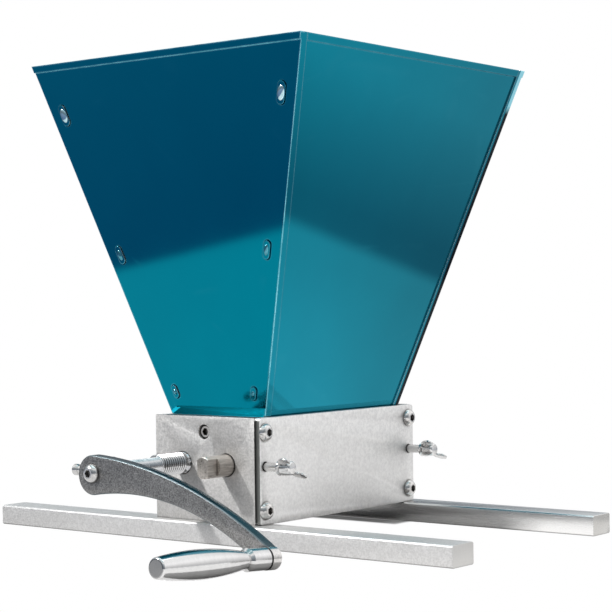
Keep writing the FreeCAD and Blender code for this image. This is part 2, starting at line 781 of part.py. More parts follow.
def hopper_screws():
    """Cap screws through the end plates that hold the hopper's neck."""
    length = hopper_screw_seat - end_inner + neck_clearance + sheet + m5_nut_height + 0.5
    return Part.makeCompound(
        [
            cap_screw(V(plate_centre, side * hopper_screw_seat, hopper_screw_z), V(0, side, 0), m5,
                      m5_cap_head, m5_cap_height, m5_cap_socket, length)
            for side in (-1, 1)
        ]
    )


def hopper_nuts():
    """Nuts on the inside of the hopper's neck."""
    face = hopper_neck_length / 2 - sheet
    nuts = []
    for side in (-1, 1):
        start, inward = V(plate_centre, side * face, hopper_screw_z), V(0, -side, 0)
        nut = hexagon(m5_nut_width, start, inward, m5_nut_height)
        nuts.append(nut.cut(cylinder(m5, start - inward, inward, m5_nut_height + 2)))
    return Part.makeCompound(nuts)


def build():
    """Every piece of the mill, by name."""
    return {
        "front_end_plate": end_plate(-1),
        "rear_end_plate": end_plate(1),
        "left_side_plate": left_side_plate(),
        "right_side_plate": right_side_plate(),
        "left_side_screws": left_side_screws(),
        "right_side_screws": right_side_screws(),
        "front_rail": rail(-1),
        "rear_rail": rail(1),
        "rail_screws": rail_screws(),
        "front_drive_bush": drive_bush(-1),
        "rear_drive_bush": drive_bush(1),
        "front_adjuster": adjuster(-1),
        "rear_adjuster": adjuster(1),
        "drive_roller": fluted_roller(drive_x, axis_z),
        "drive_shaft": drive_shaft(),
        "idler_roller": fluted_roller(adjuster_x, idler_z),
        "idler_shaft": idler_shaft(),
        "crank_hub": crank_hub(),
        "crank_set_screw": crank_set_screw(),
        "crank_arm": crank_arm(),
        "crank_bolt": button_screw(V(drive_x, arm_front, axis_z), V(0, -1, 0), crank_bolt_length),
        "grip_boss": grip_boss(),
        "grip_spindle": grip_spindle(),
        "grip_washer": grip_washer(),
        "hand_grip": hand_grip(),
        "front_wing_screw": wing_screw(-1),
        "rear_wing_screw": wing_screw(1),
        "hopper_front_panel": hopper_end(-1),
        "hopper_rear_panel": hopper_end(1),
        "hopper_left_panel": hopper_side(-1),
        "hopper_right_panel": hopper_side(1),
        "hopper_screws": hopper_screws(),
        "hopper_nuts": hopper_nuts(),
    }


os.makedirs("parts", exist_ok=True)
for name, shape in build().items():
    shape.exportStep(os.path.join("parts", name + ".step"))
    print(name, len(shape.Solids), round(shape.Volume), shape.isValid())
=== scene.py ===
"""Grain mill: finishes, fine modelled detail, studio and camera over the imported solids.

Everything is in metres in the solids' own frame: +Z up, crank towards -Y, wing screws towards +X.
"""
import json
import math

import bpy
from mathutils import Matrix, Vector

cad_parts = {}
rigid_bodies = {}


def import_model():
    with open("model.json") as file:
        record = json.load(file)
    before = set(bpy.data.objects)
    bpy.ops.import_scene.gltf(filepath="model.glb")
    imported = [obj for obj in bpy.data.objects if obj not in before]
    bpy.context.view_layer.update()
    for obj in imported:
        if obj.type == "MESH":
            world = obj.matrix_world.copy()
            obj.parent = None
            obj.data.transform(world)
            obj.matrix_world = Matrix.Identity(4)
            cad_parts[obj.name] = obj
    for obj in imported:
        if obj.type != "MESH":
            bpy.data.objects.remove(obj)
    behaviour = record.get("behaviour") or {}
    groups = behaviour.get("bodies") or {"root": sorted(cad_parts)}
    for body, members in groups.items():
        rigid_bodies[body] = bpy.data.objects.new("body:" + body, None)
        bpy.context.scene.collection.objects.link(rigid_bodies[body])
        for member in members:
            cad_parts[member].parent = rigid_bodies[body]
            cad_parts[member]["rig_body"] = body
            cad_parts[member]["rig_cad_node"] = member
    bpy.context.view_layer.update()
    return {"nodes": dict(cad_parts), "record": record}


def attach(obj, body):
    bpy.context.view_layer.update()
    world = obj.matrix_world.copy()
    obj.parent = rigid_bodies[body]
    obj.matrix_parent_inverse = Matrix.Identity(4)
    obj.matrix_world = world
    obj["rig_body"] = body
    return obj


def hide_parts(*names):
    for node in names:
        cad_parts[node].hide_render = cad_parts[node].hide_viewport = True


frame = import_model()
nodes = frame["nodes"]
bodies = frame["record"]["behaviour"]["bodies"]
body_of_node = {node: body for body, names in bodies.items() for node in names}

mm = 0.001
weld_distance = 0.002 * mm
flat_angle = math.radians(0.6)
smooth_angle = math.radians(32)

# Hopper, in millimetres: its top and lower bend, and half its length and width at each
hopper_top, hopper_bend = 282.0, 73.3
length_top, length_bend = 112.5, 65.9
width_top, width_bend = 102.0, 35.0
end_slope = (length_top - length_bend) / (hopper_top - hopper_bend)
side_slope = (width_top - width_bend) / (hopper_top - hopper_bend)

# Drive shaft's place across and up, and the middle of an end plate along the rollers
drive_x, axis_z, end_mid = -18.75 * mm, 45.3 * mm, 71.0 * mm


# Modelling helpers


def deselect():
    if bpy.context.mode != "OBJECT":
        bpy.ops.object.mode_set(mode="OBJECT")
    bpy.ops.object.select_all(action="DESELECT")


def pick(piece):
    """Makes one piece the only selected and active object."""
    deselect()
    piece.select_set(True)
    bpy.context.view_layer.objects.active = piece


def edit(piece):
    """Opens a piece for editing with everything selected."""
    pick(piece)
    bpy.ops.object.mode_set(mode="EDIT")
    bpy.ops.mesh.select_all(action="SELECT")


def apply_modifiers(piece):
    pick(piece)
    for modifier in list(piece.modifiers):
        bpy.ops.object.modifier_apply(modifier=modifier.name)


def settle(piece):
    """Puts a piece's place into its mesh, so the object itself sits at the origin."""
    pick(piece)
    bpy.ops.object.transform_apply(location=True, rotation=True, scale=True)


def smooth(piece):
    pick(piece)
    bpy.ops.object.shade_smooth_by_angle(angle=smooth_angle)


def copy_of(node, label):
    """A welded copy of a solid that stands for that solid and rides with its body."""
    pick(nodes[node])
    bpy.ops.object.duplicate()
    piece = bpy.context.active_object
    piece.name = node + label
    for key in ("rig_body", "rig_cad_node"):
        if key in piece:
            del piece[key]
    piece.parent = None
    piece.matrix_world = Matrix.Identity(4)
    edit(piece)
    bpy.ops.mesh.remove_doubles(threshold=weld_distance)
    deselect()
    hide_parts(node)
    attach(piece, body_of_node[node])
    return piece


def select_where(piece, test):
    """Opens a piece for editing with only the points that pass the test selected."""
    edit(piece)
    bpy.ops.mesh.select_all(action="DESELECT")
    bpy.ops.object.mode_set(mode="OBJECT")
    for point in piece.data.vertices:
        point.select = test(point.co)
    bpy.ops.object.mode_set(mode="EDIT")


def break_edges(piece, width, angle=35):
    """Dissolves flat seams and rounds the sharp edges of a piece."""
    edit(piece)
    bpy.ops.mesh.dissolve_limited(angle_limit=flat_angle)
    deselect()
    bevel = piece.modifiers.new("broken_edges", "BEVEL")
    bevel.width = width
    bevel.segments = 2
    bevel.limit_method = "ANGLE"
    bevel.angle_limit = math.radians(angle)
    bevel.miter_outer = "MITER_ARC"
    apply_modifiers(piece)
    smooth(piece)


# Shader helpers


class Nodes:
    """Short calls for laying out one node tree."""

    def __init__(self, tree):
        self.tree = tree

    def link(self, a, b):
        self.tree.links.new(a, b)

    def give(self, socket, value):
        """Links a socket to another socket, or sets it to a plain value."""
        if isinstance(value, bpy.types.NodeSocket):
            self.link(value, socket)
        else:
            socket.default_value = value

    def add(self, kind, values=None, **settings):
        node = self.tree.nodes.new(kind)
        for name, value in settings.items():
            setattr(node, name, value)
        for socket, value in (values or {}).items():
            self.give(node.inputs[socket], value)
        return node

    def math(self, operation, a, b=0.0):
        return self.add("ShaderNodeMath", {0: a, 1: b}, operation=operation).outputs[0]

    def weigh(self, a, share_a, b, share_b):
        """Weighted sum of two values."""
        return self.math("ADD", self.math("MULTIPLY", a, share_a),
                         self.math("MULTIPLY", b, share_b))

    def remap(self, value, low, high, to_low=0.0, to_high=1.0):
        values = {0: value, 1: low, 2: high, 3: to_low, 4: to_high}
        return self.add("ShaderNodeMapRange", values).outputs[0]

    def mix(self, share, a, b):
        """Colour mix; a and b are colours or sockets."""
        node = self.add("ShaderNodeMix", {0: share}, data_type="RGBA")
        for index, value in ((6, a), (7, b)):
            colour = value if isinstance(value, bpy.types.NodeSocket) else (*value, 1)
            self.give(node.inputs[index], colour)
        return node.outputs[2]

    def shader_mix(self, share, a, b):
        return self.add("ShaderNodeMixShader", {0: share, 1: a, 2: b}).outputs[0]

    def times(self, a, b):
        """Vector a times vector b, axis by axis."""
        return self.add("ShaderNodeVectorMath", {0: a, 1: b}, operation="MULTIPLY").outputs[0]

    def dot(self, a, b):
        node = self.add("ShaderNodeVectorMath", {0: a, 1: b}, operation="DOT_PRODUCT")
        return node.outputs["Value"]

    def axes(self, vector):
        return self.add("ShaderNodeSeparateXYZ", {0: vector}).outputs

    def noise(self, vector, scale, detail=3.0, roughness=0.5):
        values = {"Vector": vector, "Scale": scale, "Detail": detail, "Roughness": roughness}
        return self.add("ShaderNodeTexNoise", values).outputs[0]

    def cells(self, vector, scale, feature):
        """Distance in a pattern of cells."""
        values = {"Vector": vector, "Scale": scale}
        return self.add("ShaderNodeTexVoronoi", values, feature=feature).outputs["Distance"]

    def emission(self, colour, strength):
        return self.add("ShaderNodeEmission", {"Color": colour, "Strength": strength}).outputs[0]

    def background(self, colour, strength):
        return self.add("ShaderNodeBackground", {"Color": colour, "Strength": strength}).outputs[0]


def effect(name, inputs, outputs, lay):
    """A shared shader effect as a node group."""
    tree = bpy.data.node_groups.new(name, "ShaderNodeTree")
    for socket, kind, value in inputs:
        made = tree.interface.new_socket(socket, in_out="INPUT", socket_type="NodeSocket" + kind)
        if value is not None:
            made.default_value = value
    for socket, kind in outputs:
        tree.interface.new_socket(socket, in_out="OUTPUT", socket_type="NodeSocket" + kind)
    n = Nodes(tree)
    ends = n.add("NodeGroupInput"), n.add("NodeGroupOutput")
    lay(n, ends[0].outputs, ends[1].inputs)
    return tree


def lay_brushing(n, given, out):
    stretched = n.times(given["Vector"], given["Stretch"])
    fine = n.noise(stretched, 1.0, 4.0, 0.65)
    broad = n.noise(stretched, 0.17, 2.0, 0.5)
    n.link(n.remap(n.weigh(fine, 0.65, broad, 0.35), 0.32, 0.68), out["Streak"])


def lay_specks(n, given, out):
    distance = n.cells(given["Vector"], given["Scale"], "F1")
    patchy = n.noise(given["Vector"], n.math("MULTIPLY", given["Scale"], 0.21), 2.0)
    reach = n.math("MULTIPLY", given["Amount"], patchy)
    n.link(n.remap(n.math("SUBTRACT", reach, distance), 0.0, 0.06), out["Mask"])


def lay_scratches(n, given, out):
    """Three sets of broken lines, each turned and spread its own way."""
    lines = []
    for turn, wide in ((0.35, 1.0), (1.25, 0.8), (2.3, 1.2)):
        values = {"Vector": given["Vector"], "Rotation": (turn * 0.7, turn * 1.3, turn)}
        spun = n.add("ShaderNodeVectorRotate", values, rotation_type="EULER_XYZ").outputs[0]
        drawn_out = n.times(spun, (60.0 * wide, 9.0, 14.0))
        distance = n.cells(drawn_out, given["Density"], "DISTANCE_TO_EDGE")
        line = n.remap(distance, 0.0, 0.018, 1.0, 0.0)
        where = n.remap(n.noise(spun, 31.0 * wide, 2.0), 0.56, 0.66)
        lines.append(n.math("MULTIPLY", line, where))
    n.link(n.math("MAXIMUM", n.math("MAXIMUM", lines[0], lines[1]), lines[2]), out["Mask"])


def lay_handling(n, given, out):
    soft = n.noise(given["Vector"], given["Scale"], 3.0, 0.55)
    swirl = n.noise(given["Vector"], n.math("MULTIPLY", given["Scale"], 4.3), 4.0, 0.6)
    n.link(n.weigh(soft, 0.7, swirl, 0.3), out["Smudge"])


def lay_crevices(n, given, out):
    # Painted shade: darkens where the surface is hemmed in, in crevices, sockets, recesses and
    # between parts
    shade = n.add("ShaderNodeAmbientOcclusion", {"Distance": given["Reach"]}, samples=8)
    n.link(n.remap(shade.outputs["AO"], 0.25, 0.85, 1.0, 0.0), out["Mask"])


vector_in = ("Vector", "Vector", None)
crevices = effect("crevices", [("Reach", "Float", 0.002)], [("Mask", "Float")], lay_crevices)
brushing = effect("brushing", [vector_in, ("Stretch", "Vector", (1, 1, 1))],
                  [("Streak", "Float")], lay_brushing)
specks = effect("specks", [vector_in, ("Scale", "Float", 900.0), ("Amount", "Float", 0.5)],
                [("Mask", "Float")], lay_specks)
scratches = effect("scratches", [vector_in, ("Density", "Float", 1.0)],
                   [("Mask", "Float")], lay_scratches)
handling = effect("handling", [vector_in, ("Scale", "Float", 12.0)],
                  [("Smudge", "Float")], lay_handling)


def use(n, group, **values):
    """One output of a shared effect, with its inputs given."""
    return n.add("ShaderNodeGroup", values, node_tree=group).outputs[0]


def start_finish(name, metallic=1.0):
    """A material with its Principled shader and Object coordinates ready."""
    material = bpy.data.materials.new(name)
    material.use_nodes = True
    material.node_tree.nodes.clear()
    n = Nodes(material.node_tree)
    shader = n.add("ShaderNodeBsdfPrincipled", {"Metallic": metallic})
    n.add("ShaderNodeOutputMaterial", {"Surface": shader.outputs[0]})
    place = n.add("ShaderNodeTexCoord").outputs["Object"]
    return material, n, shader.inputs, place


def bump(n, height, strength, distance, normal=None):
    values = {"Height": height, "Strength": strength, "Distance": distance}
    if normal:
        values["Normal"] = normal
    return n.add("ShaderNodeBump", values).outputs[0]


def facing(n, axis):
    """How squarely a face looks along one axis, from 0 to 1."""
    normal = n.add("ShaderNodeTexCoord").outputs["Normal"]
    return n.math("ABSOLUTE", n.axes(normal)[axis])


def rounded_normal(n, radius):
    return n.add("ShaderNodeBevel", {"Radius": radius}, samples=6).outputs[0]


# Finishes


def brushed_metal(name, colour, dark, stretch, rough, rough_span, bump_depth=0.02, crevice_shade_share=0.8,
                  reach=2.0, sawn_and_shaded=None, face_axis=0):
    """Turned or drawn metal: brush marks, fine scratches, smudges, painted shade in crevices, and
    faces across one axis recoloured: saw-cut ends on the rear rail, painted shade on the grip's
    end face.

    The bump's depth and the reach of the painted shade in crevices are in millimetres.
    """
    crevice_shade_colour = (0.015, 0.013, 0.011)
    material, n, shader, place = start_finish(name)
    streak = use(n, brushing, Vector=place, Stretch=stretch)
    smudge = use(n, handling, Vector=place, Scale=18.0)
    scratch = use(n, scratches, Vector=place, Density=1.0)
    base = n.mix(n.weigh(streak, 0.55, smudge, 0.45), dark, colour)
    # Faces across one axis recoloured: saw-cut rail ends, painted shade on the grip's end face
    if sawn_and_shaded:
        base = n.mix(n.remap(facing(n, face_axis), 0.75, 0.95), base, sawn_and_shaded)
    # Painted shade in crevices and sockets, darkening the colour where the surface is hemmed in
    painted_crevice_shade = n.math("MULTIPLY", use(n, crevices, Reach=reach * mm), crevice_shade_share)
    n.link(n.mix(painted_crevice_shade, base, crevice_shade_colour), shader["Base Color"])
    smudge_span = rough_span * 0.6
    grain = n.weigh(streak, rough_span, smudge, smudge_span)
    n.link(n.math("ADD", grain, rough - smudge_span), shader["Roughness"])
    height = n.math("SUBTRACT", n.math("MULTIPLY", streak, 0.5), n.math("MULTIPLY", scratch, 0.4))
    n.link(bump(n, height, 0.35, bump_depth * mm), shader["Normal"])
    return material


def grained_metal(name, colour, dark, rough, grain_scale, sawn_and_shaded=None, face_axis=1, gap_shadow=None,
                  edge_rough_and_rim_shade=None, metallic=1.0):
    """Blasted plate: fine grain, soft clouds, painted shade in crevices, and faces across one axis
    recoloured: saw-cut ends on the front rail, painted shade on the end plates' top and bottom
    faces and the side plates' edges, and on the arm a smoother rim with painted shade.

    A painted shadow in the gap darkens the edge faces between two distances across the mill, in
    millimetres.
    """
    gap_shadow_dark, rim_painted_shade = (0.012, 0.012, 0.011), (0.10, 0.125, 0.135)
    plate_crevice_shade_colour = (0.02, 0.017, 0.014)
    material, n, shader, place = start_finish(name, metallic)
    fine = n.noise(place, grain_scale, 3.0, 0.7)
    coarse = n.noise(place, grain_scale * 0.37, 3.0, 0.6)
    clouds = use(n, handling, Vector=place, Scale=26.0)
    grain = n.remap(n.weigh(fine, 0.8, coarse, 0.2), 0.39, 0.61)
    base = n.mix(n.weigh(grain, 0.75, clouds, 0.25), dark, colour)
    gloss = n.math("ADD", n.math("MULTIPLY", grain, 0.12), rough - 0.06)
    square = facing(n, face_axis)
    # Painted shadow in the gap: near black at the inner side of the edge faces
    if gap_shadow:
        across = n.math("ABSOLUTE", n.axes(place)[0])
        sawn_and_shaded = n.mix(n.remap(across, gap_shadow[0] * mm, gap_shadow[1] * mm), gap_shadow_dark, sawn_and_shaded)
    # Faces across one axis recoloured: saw-cut rail ends, painted shade on the plates' top faces
    # and edge faces
    if sawn_and_shaded:
        base = n.mix(n.remap(square, 0.75, 0.95), base, sawn_and_shaded)
    # Painted shade on the edges and chamfers, tinted slightly teal as a painted reflection of the
    # hopper; smoother there too
    if edge_rough_and_rim_shade:
        base = n.mix(n.remap(square, 0.80, 0.97, 1.0, 0.0), base, rim_painted_shade)
        gloss = n.math("MINIMUM", gloss, n.remap(square, 0.3, 0.9, edge_rough_and_rim_shade, 1.0))
    # Painted shade in crevices, around holes and between parts
    painted_crevice_shade = n.math("MULTIPLY", use(n, crevices, Reach=1.5 * mm), 0.85)
    n.link(n.mix(painted_crevice_shade, base, plate_crevice_shade_colour), shader["Base Color"])
    n.link(gloss, shader["Roughness"])
    n.link(bump(n, grain, 0.3, 0.05 * mm), shader["Normal"])
    return material


def film_finish(name, painted_lap_light=False):
    """Glossy blue film outside bright sheet, bare inside, with a painted highlight along its
    corner bends and hem and a faint share of it as rubbing on its other edges.

    When asked for, the lap at the rear corners is painted: painted shade below and a painted
    highlight above.
    """
    deep_blue, pale_blue = (0.0, 0.205, 0.292), (0.0, 0.222, 0.312)
    scratched, dusty, wear_and_highlight_blue = (0.05, 0.36, 0.46), (0.16, 0.36, 0.42), (0.34, 0.80, 0.90)
    lap_painted_shade, lap_painted_highlight = (0.0, 0.008, 0.014), (0.36, 0.80, 0.92)
    bare_dark, bare_light = (0.56, 0.57, 0.58), (0.70, 0.71, 0.72)
    film_rough, bare_rough = 0.028, 0.26

    material, n, shader, place = start_finish(name)
    part = n.axes(place)
    smudge = use(n, handling, Vector=place, Scale=9.0)
    scratch = use(n, scratches, Vector=place, Density=0.22)
    dust = use(n, specks, Vector=place, Scale=300.0, Amount=0.12)
    ripple = n.noise(place, 7.0, 2.0, 0.45)
    pull = n.noise(place, 130.0, 3.0, 0.5)
    tone = n.remap(smudge, 0.35, 0.65)
    colour = n.mix(tone, deep_blue, pale_blue)
    colour = n.mix(n.math("MULTIPLY", scratch, 0.05), colour, scratched)
    colour = n.mix(n.math("MULTIPLY", dust, 0.1), colour, dusty)

    def inside_of(slope, half_at_bend, axis):
        """Distance in from a sloping pair of panels."""
        start = (half_at_bend - slope * hopper_bend) * mm
        face = n.math("ADD", n.math("MULTIPLY", part[2], slope), start)
        return n.math("SUBTRACT", face, n.math("ABSOLUTE", part[axis]))

    from_end = inside_of(end_slope, length_bend, 1)
    from_side = inside_of(side_slope, width_bend, 0)
    # Painted highlight along the corner bends and the hem line; every other edge gets a faint
    # share of it as rubbing
    at_end = n.remap(from_end, 2.0 * mm, 3.0 * mm, 1.0, 0.0)
    bend = n.math("MULTIPLY", at_end, n.remap(from_side, 2.5 * mm, 3.5 * mm, 1.0, 0.0))
    hem = n.math("MULTIPLY", at_end, n.remap(part[2], 0.276, 0.279))
    wear_and_highlight_share = n.math("MAXIMUM", n.math("MAXIMUM", bend, hem), 0.22)
    flat = n.add("ShaderNodeNewGeometry").outputs["Normal"]
    agree = n.dot(rounded_normal(n, 1.5 * mm), flat)
    edge = n.remap(agree, 0.82, 0.97, 1.0, 0.0)
    wear_and_highlight = n.math("MULTIPLY", edge, n.remap(pull, 0.35, 0.6, 0.45, 1.0))
    colour = n.mix(n.math("MULTIPLY", wear_and_highlight, wear_and_highlight_share), colour, wear_and_highlight_blue)
    # Lap at the rear corners: painted shade below, painted highlight above
    if painted_lap_light:
        on_return = n.remap(from_end, 3.2 * mm, 3.6 * mm, 1.0, 0.0)
        turned_in = n.math("MULTIPLY", n.remap(facing(n, 0), 0.5, 0.8), on_return)
        lap = n.mix(n.remap(part[2], 0.255, 0.260), lap_painted_shade, lap_painted_highlight)
        colour = n.mix(turned_in, colour, lap)

    normal = n.add("ShaderNodeTexCoord").outputs["Normal"]
    corner = n.add("ShaderNodeVectorMath", {0: place}, operation="SIGN").outputs[0]
    outward = n.dot(normal, n.times(corner, (1.0, 1.0, 0.0)))
    inner = n.remap(outward, -0.4, -0.3, 1.0, 0.0)
    n.link(n.mix(inner, colour, n.mix(tone, bare_dark, bare_light)), shader["Base Color"])
    marks = n.weigh(smudge, 0.08, scratch, 0.03)
    rough = n.math("ADD", marks, n.remap(inner, 0.0, 1.0, film_rough, bare_rough))
    n.link(rough, shader["Roughness"])
    height = n.math("ADD", ripple, n.math("MULTIPLY", pull, 0.012))
    eased = rounded_normal(n, 0.5 * mm)
    n.link(bump(n, height, 0.25, 0.35 * mm, eased), shader["Normal"])
    return material


def nylon_finish():
    """Matt black washer."""
    material, n, shader, place = start_finish("black_nylon", metallic=0.0)
    grain = use(n, handling, Vector=place, Scale=160.0)
    black = n.mix(grain, (0.006, 0.006, 0.006), (0.022, 0.022, 0.023))
    n.link(black, shader["Base Color"])
    n.link(n.remap(grain, 0.2, 0.8, 0.45, 0.62), shader["Roughness"])
    n.link(bump(n, grain, 0.2, 0.03 * mm), shader["Normal"])
    return material


# Brush marks: how finely the pattern repeats along X, Y and Z
even_fine, even_coarse = (900.0, 900.0, 900.0), (700.0, 700.0, 700.0)
drawn_along_x = (40.0, 1500.0, 1500.0)

# Faces up and down darkened as painted shade
plate = grained_metal("plate_aluminium", (0.60, 0.585, 0.57), (0.40, 0.39, 0.38), 0.52, 800.0,
                      sawn_and_shaded=(0.15, 0.147, 0.144), face_axis=2, metallic=0.85)
# Edge faces darkened as painted shade, near black towards the gap as a painted shadow
side = grained_metal("side_aluminium", (0.99, 0.98, 0.965), (0.78, 0.77, 0.76), 0.50, 560.0,
                     sawn_and_shaded=(0.20, 0.205, 0.195), gap_shadow=(37.0, 39.8), metallic=0.85)
bar = grained_metal("bar_aluminium", (0.72, 0.708, 0.70), (0.53, 0.52, 0.512), 0.50, 1000.0,
                    sawn_and_shaded=(0.60, 0.59, 0.575), face_axis=0, metallic=0.9)
# Darker, slightly teal rim on the arm's edges: painted shade and painted reflection
arm = grained_metal("arm_steel", (0.38, 0.375, 0.37), (0.09, 0.089, 0.088), 0.40, 1100.0,
                    edge_rough_and_rim_shade=0.27)
drawn = brushed_metal("drawn_aluminium", (0.97, 0.96, 0.95), (0.72, 0.71, 0.70), drawn_along_x,
                      0.24, 0.12, sawn_and_shaded=(0.54, 0.53, 0.51))
# On these steels the painted shade in crevices is strongest, deepest in the hopper screws' sockets
bright = brushed_metal("bright_steel", (0.82, 0.80, 0.78), (0.46, 0.45, 0.44), even_fine,
                       0.17, 0.08, bump_depth=0.01, crevice_shade_share=1.0, reach=3.5)
wing = brushed_metal("wing_steel", (0.90, 0.89, 0.88), (0.50, 0.495, 0.49), even_coarse,
                     0.13, 0.08, crevice_shade_share=0.9, reach=3.0)
socket = brushed_metal("socket_steel", (0.90, 0.84, 0.76), (0.62, 0.57, 0.51), even_fine,
                       0.30, 0.10, bump_depth=0.01, crevice_shade_share=1.0, reach=6.0)
# Near-black thread root: painted shade in the grooves between the ridges
root = brushed_metal("thread_root_painted_shade", (0.03, 0.03, 0.031), (0.012, 0.012, 0.012), even_fine,
                     0.40, 0.10)
shaft = brushed_metal("shaft_steel", (0.72, 0.72, 0.73), (0.58, 0.58, 0.59),
                      (500.0, 2600.0, 500.0), 0.22, 0.12, bump_depth=0.015)
thread = brushed_metal("thread_steel", (0.76, 0.75, 0.75), (0.50, 0.495, 0.49), even_fine,
                       0.20, 0.10, crevice_shade_share=0.6, reach=1.0)
warm = brushed_metal("adjuster_steel", (0.92, 0.86, 0.80), (0.16, 0.14, 0.12),
                     (900.0, 90.0, 900.0), 0.30, 0.22, bump_depth=0.09)
roll = brushed_metal("roller_steel", (0.46, 0.46, 0.47), (0.30, 0.30, 0.31),
                     (900.0, 160.0, 900.0), 0.32, 0.14)
bronze = brushed_metal("bearing_bronze", (0.62, 0.42, 0.22), (0.46, 0.29, 0.14),
                       (400.0, 1800.0, 400.0), 0.30, 0.12)
# End face darkened as painted shade
grip = brushed_metal("polished_aluminium", (0.74, 0.735, 0.73), (0.58, 0.575, 0.57),
                     (300.0, 2400.0, 300.0), 0.11, 0.08, bump_depth=0.012,
                     sawn_and_shaded=(0.30, 0.30, 0.30), face_axis=1)
film = film_finish("blue_film")
lapped_film = film_finish("blue_film_lapped", painted_lap_light=True)
nylon = nylon_finish()
# Pale cyan on the upper tab crowns: painted highlight
crown_painted_highlight = brushed_metal("tab_crown_painted_highlight", (0.80, 0.95, 0.98), (0.30, 0.60, 0.68), even_coarse,
                           0.12, 0.08)
dull_film = brushed_metal("tab_dull_film", (0.16, 0.46, 0.54), (0.02, 0.20, 0.27), even_coarse,
                          0.14, 0.08)

finishes = {
    "front_end_plate": plate, "rear_end_plate": plate,
    "left_side_plate": side, "right_side_plate": side,
    "front_rail": bar, "rear_rail": drawn,
    "left_side_screws": bright, "right_side_screws": bright, "rail_screws": bright,
    "hopper_screws": socket, "hopper_nuts": bright,
    "front_drive_bush": bronze, "rear_drive_bush": bronze,
    "front_adjuster": warm, "rear_adjuster": warm,
    "drive_roller": roll, "idler_roller": roll, "drive_shaft": shaft, "idler_shaft": shaft,
    "crank_hub": shaft, "crank_set_screw": bright, "crank_arm": arm, "crank_bolt": bright,
    "grip_spindle": shaft, "grip_boss": bright, "grip_washer": nylon, "hand_grip": grip,
    "front_wing_screw": wing, "rear_wing_screw": wing,
    "hopper_front_panel": film, "hopper_rear_panel": lapped_film,
    "hopper_left_panel": film, "hopper_right_panel": film,
}
for name, finish in finishes.items():
    nodes[name].data.materials.clear()
    nodes[name].data.materials.append(finish)


# Pieces that stand for solids, or ride with them


def thin_wings(node, end):
    """Wing screw with slimmer wings turned a little, standing for its solid."""
    hub_radius = 4.6 * mm
    piece = copy_of(node, "_slim")
    axis_y = end * end_mid

    def on_wing(point):
        return math.hypot(point.y - axis_y, point.z - axis_z) > hub_radius

    along = [point.co.x for point in piece.data.vertices if on_wing(point.co)]
    middle = (sum(along) / len(along), axis_y, axis_z)
    select_where(piece, on_wing)
    bpy.ops.transform.rotate(value=math.radians(45), orient_axis="X", center_override=middle)
    bpy.ops.transform.resize(value=(0.8, 0.42, 0.85), center_override=middle)
    bpy.ops.transform.rotate(value=math.radians(-58), orient_axis="X", center_override=middle)
    deselect()
    break_edges(piece, 0.22 * mm, angle=40)


def thread_root():
    """Drive shaft cut down to its thread's root where the ridge is wound."""
    thread_start, thread_end, shaft_radius = -99.3 * mm, -79.1 * mm, 5.7 * mm
    to_root = (0.9, 1, 0.9)
    piece = copy_of("drive_shaft", "_cut")

    def on_thread(point):
        reach = math.hypot(point.x - drive_x, point.z - axis_z)
        return thread_start < point.y < thread_end and reach > shaft_radius

    select_where(piece, on_thread)
    bpy.ops.transform.resize(value=to_root, center_override=(drive_x, 0, axis_z))
    # The root takes the near-black finish, painted shade between the ridges
    piece.data.materials.append(root)
    piece.active_material_index = 1
    bpy.ops.object.material_slot_assign()
    deselect()
    smooth(piece)


def tab_crown(name, x_side, y_side, share, width, height, finish):
    """Polished crown of one bent tab, set in its slot in an end panel; sizes in millimetres."""
    panel_height, slot_inset, rise, half_thick = 209.0, 9.0, 0.45, 1.25
    z = hopper_top - share * panel_height
    normal = Vector((0, y_side, -end_slope)).normalized()
    along = Vector((x_side * side_slope, y_side * end_slope, 1)).normalized()
    across = along.cross(normal).normalized()
    x = x_side * (width_bend + side_slope * (z - hopper_bend) - slot_inset)
    y = y_side * (length_bend + end_slope * (z - hopper_bend))
    deselect()
    bpy.ops.mesh.primitive_uv_sphere_add(segments=32, ring_count=16, radius=1.0)
    crown = bpy.context.active_object
    crown.name = name
    sizes = Matrix.Diagonal((width / 2 * mm, height / 2 * mm, half_thick * mm, 1))
    turn = Matrix((across, along, normal)).transposed().to_4x4()
    place = Matrix.Translation((Vector((x, y, z)) + normal * rise) * mm)
    crown.matrix_world = place @ turn @ sizes
    settle(crown)
    pick(crown)
    bpy.ops.object.shade_smooth()
    crown.data.materials.append(finish)
    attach(crown, "frame")


def drive_thread():
    """Thread ridge wound on the drive shaft in front of the housing."""
    pitch, start, turns, steps = 1.8 * mm, -79.6 * mm, 11, 40
    ridge_middle = 5.55 * mm
    origin = (0, 0, 0)
    deselect()
    bpy.ops.mesh.primitive_plane_add(size=1.0 * mm, location=origin)
    ridge = bpy.context.active_object
    ridge.name = "drive_thread"
    edit(ridge)
    bpy.ops.transform.rotate(value=math.radians(45), orient_axis="Z", center_override=origin)
    bpy.ops.transform.rotate(value=math.radians(90), orient_axis="Y", center_override=origin)
    bpy.ops.transform.resize(value=(1.0, 0.78, 1.15), center_override=origin)
    bpy.ops.transform.translate(value=(0, 0, ridge_middle))
    deselect()
    wind = ridge.modifiers.new("wind", "SCREW")
    wind.axis = "Y"
    wind.screw_offset = -pitch
    wind.iterations = turns
    wind.steps = wind.render_steps = steps
    wind.use_merge_vertices = True
    wind.merge_threshold = 0.001 * mm
    apply_modifiers(ridge)
    ridge.location = (drive_x, start, axis_z)
    settle(ridge)
    edit(ridge)
    bpy.ops.mesh.fill_holes(sides=0)
    bpy.ops.mesh.select_all(action="SELECT")
    bpy.ops.mesh.normals_make_consistent(inside=False)
    deselect()
    ridge.data.materials.append(thread)
    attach(ridge, "drive")


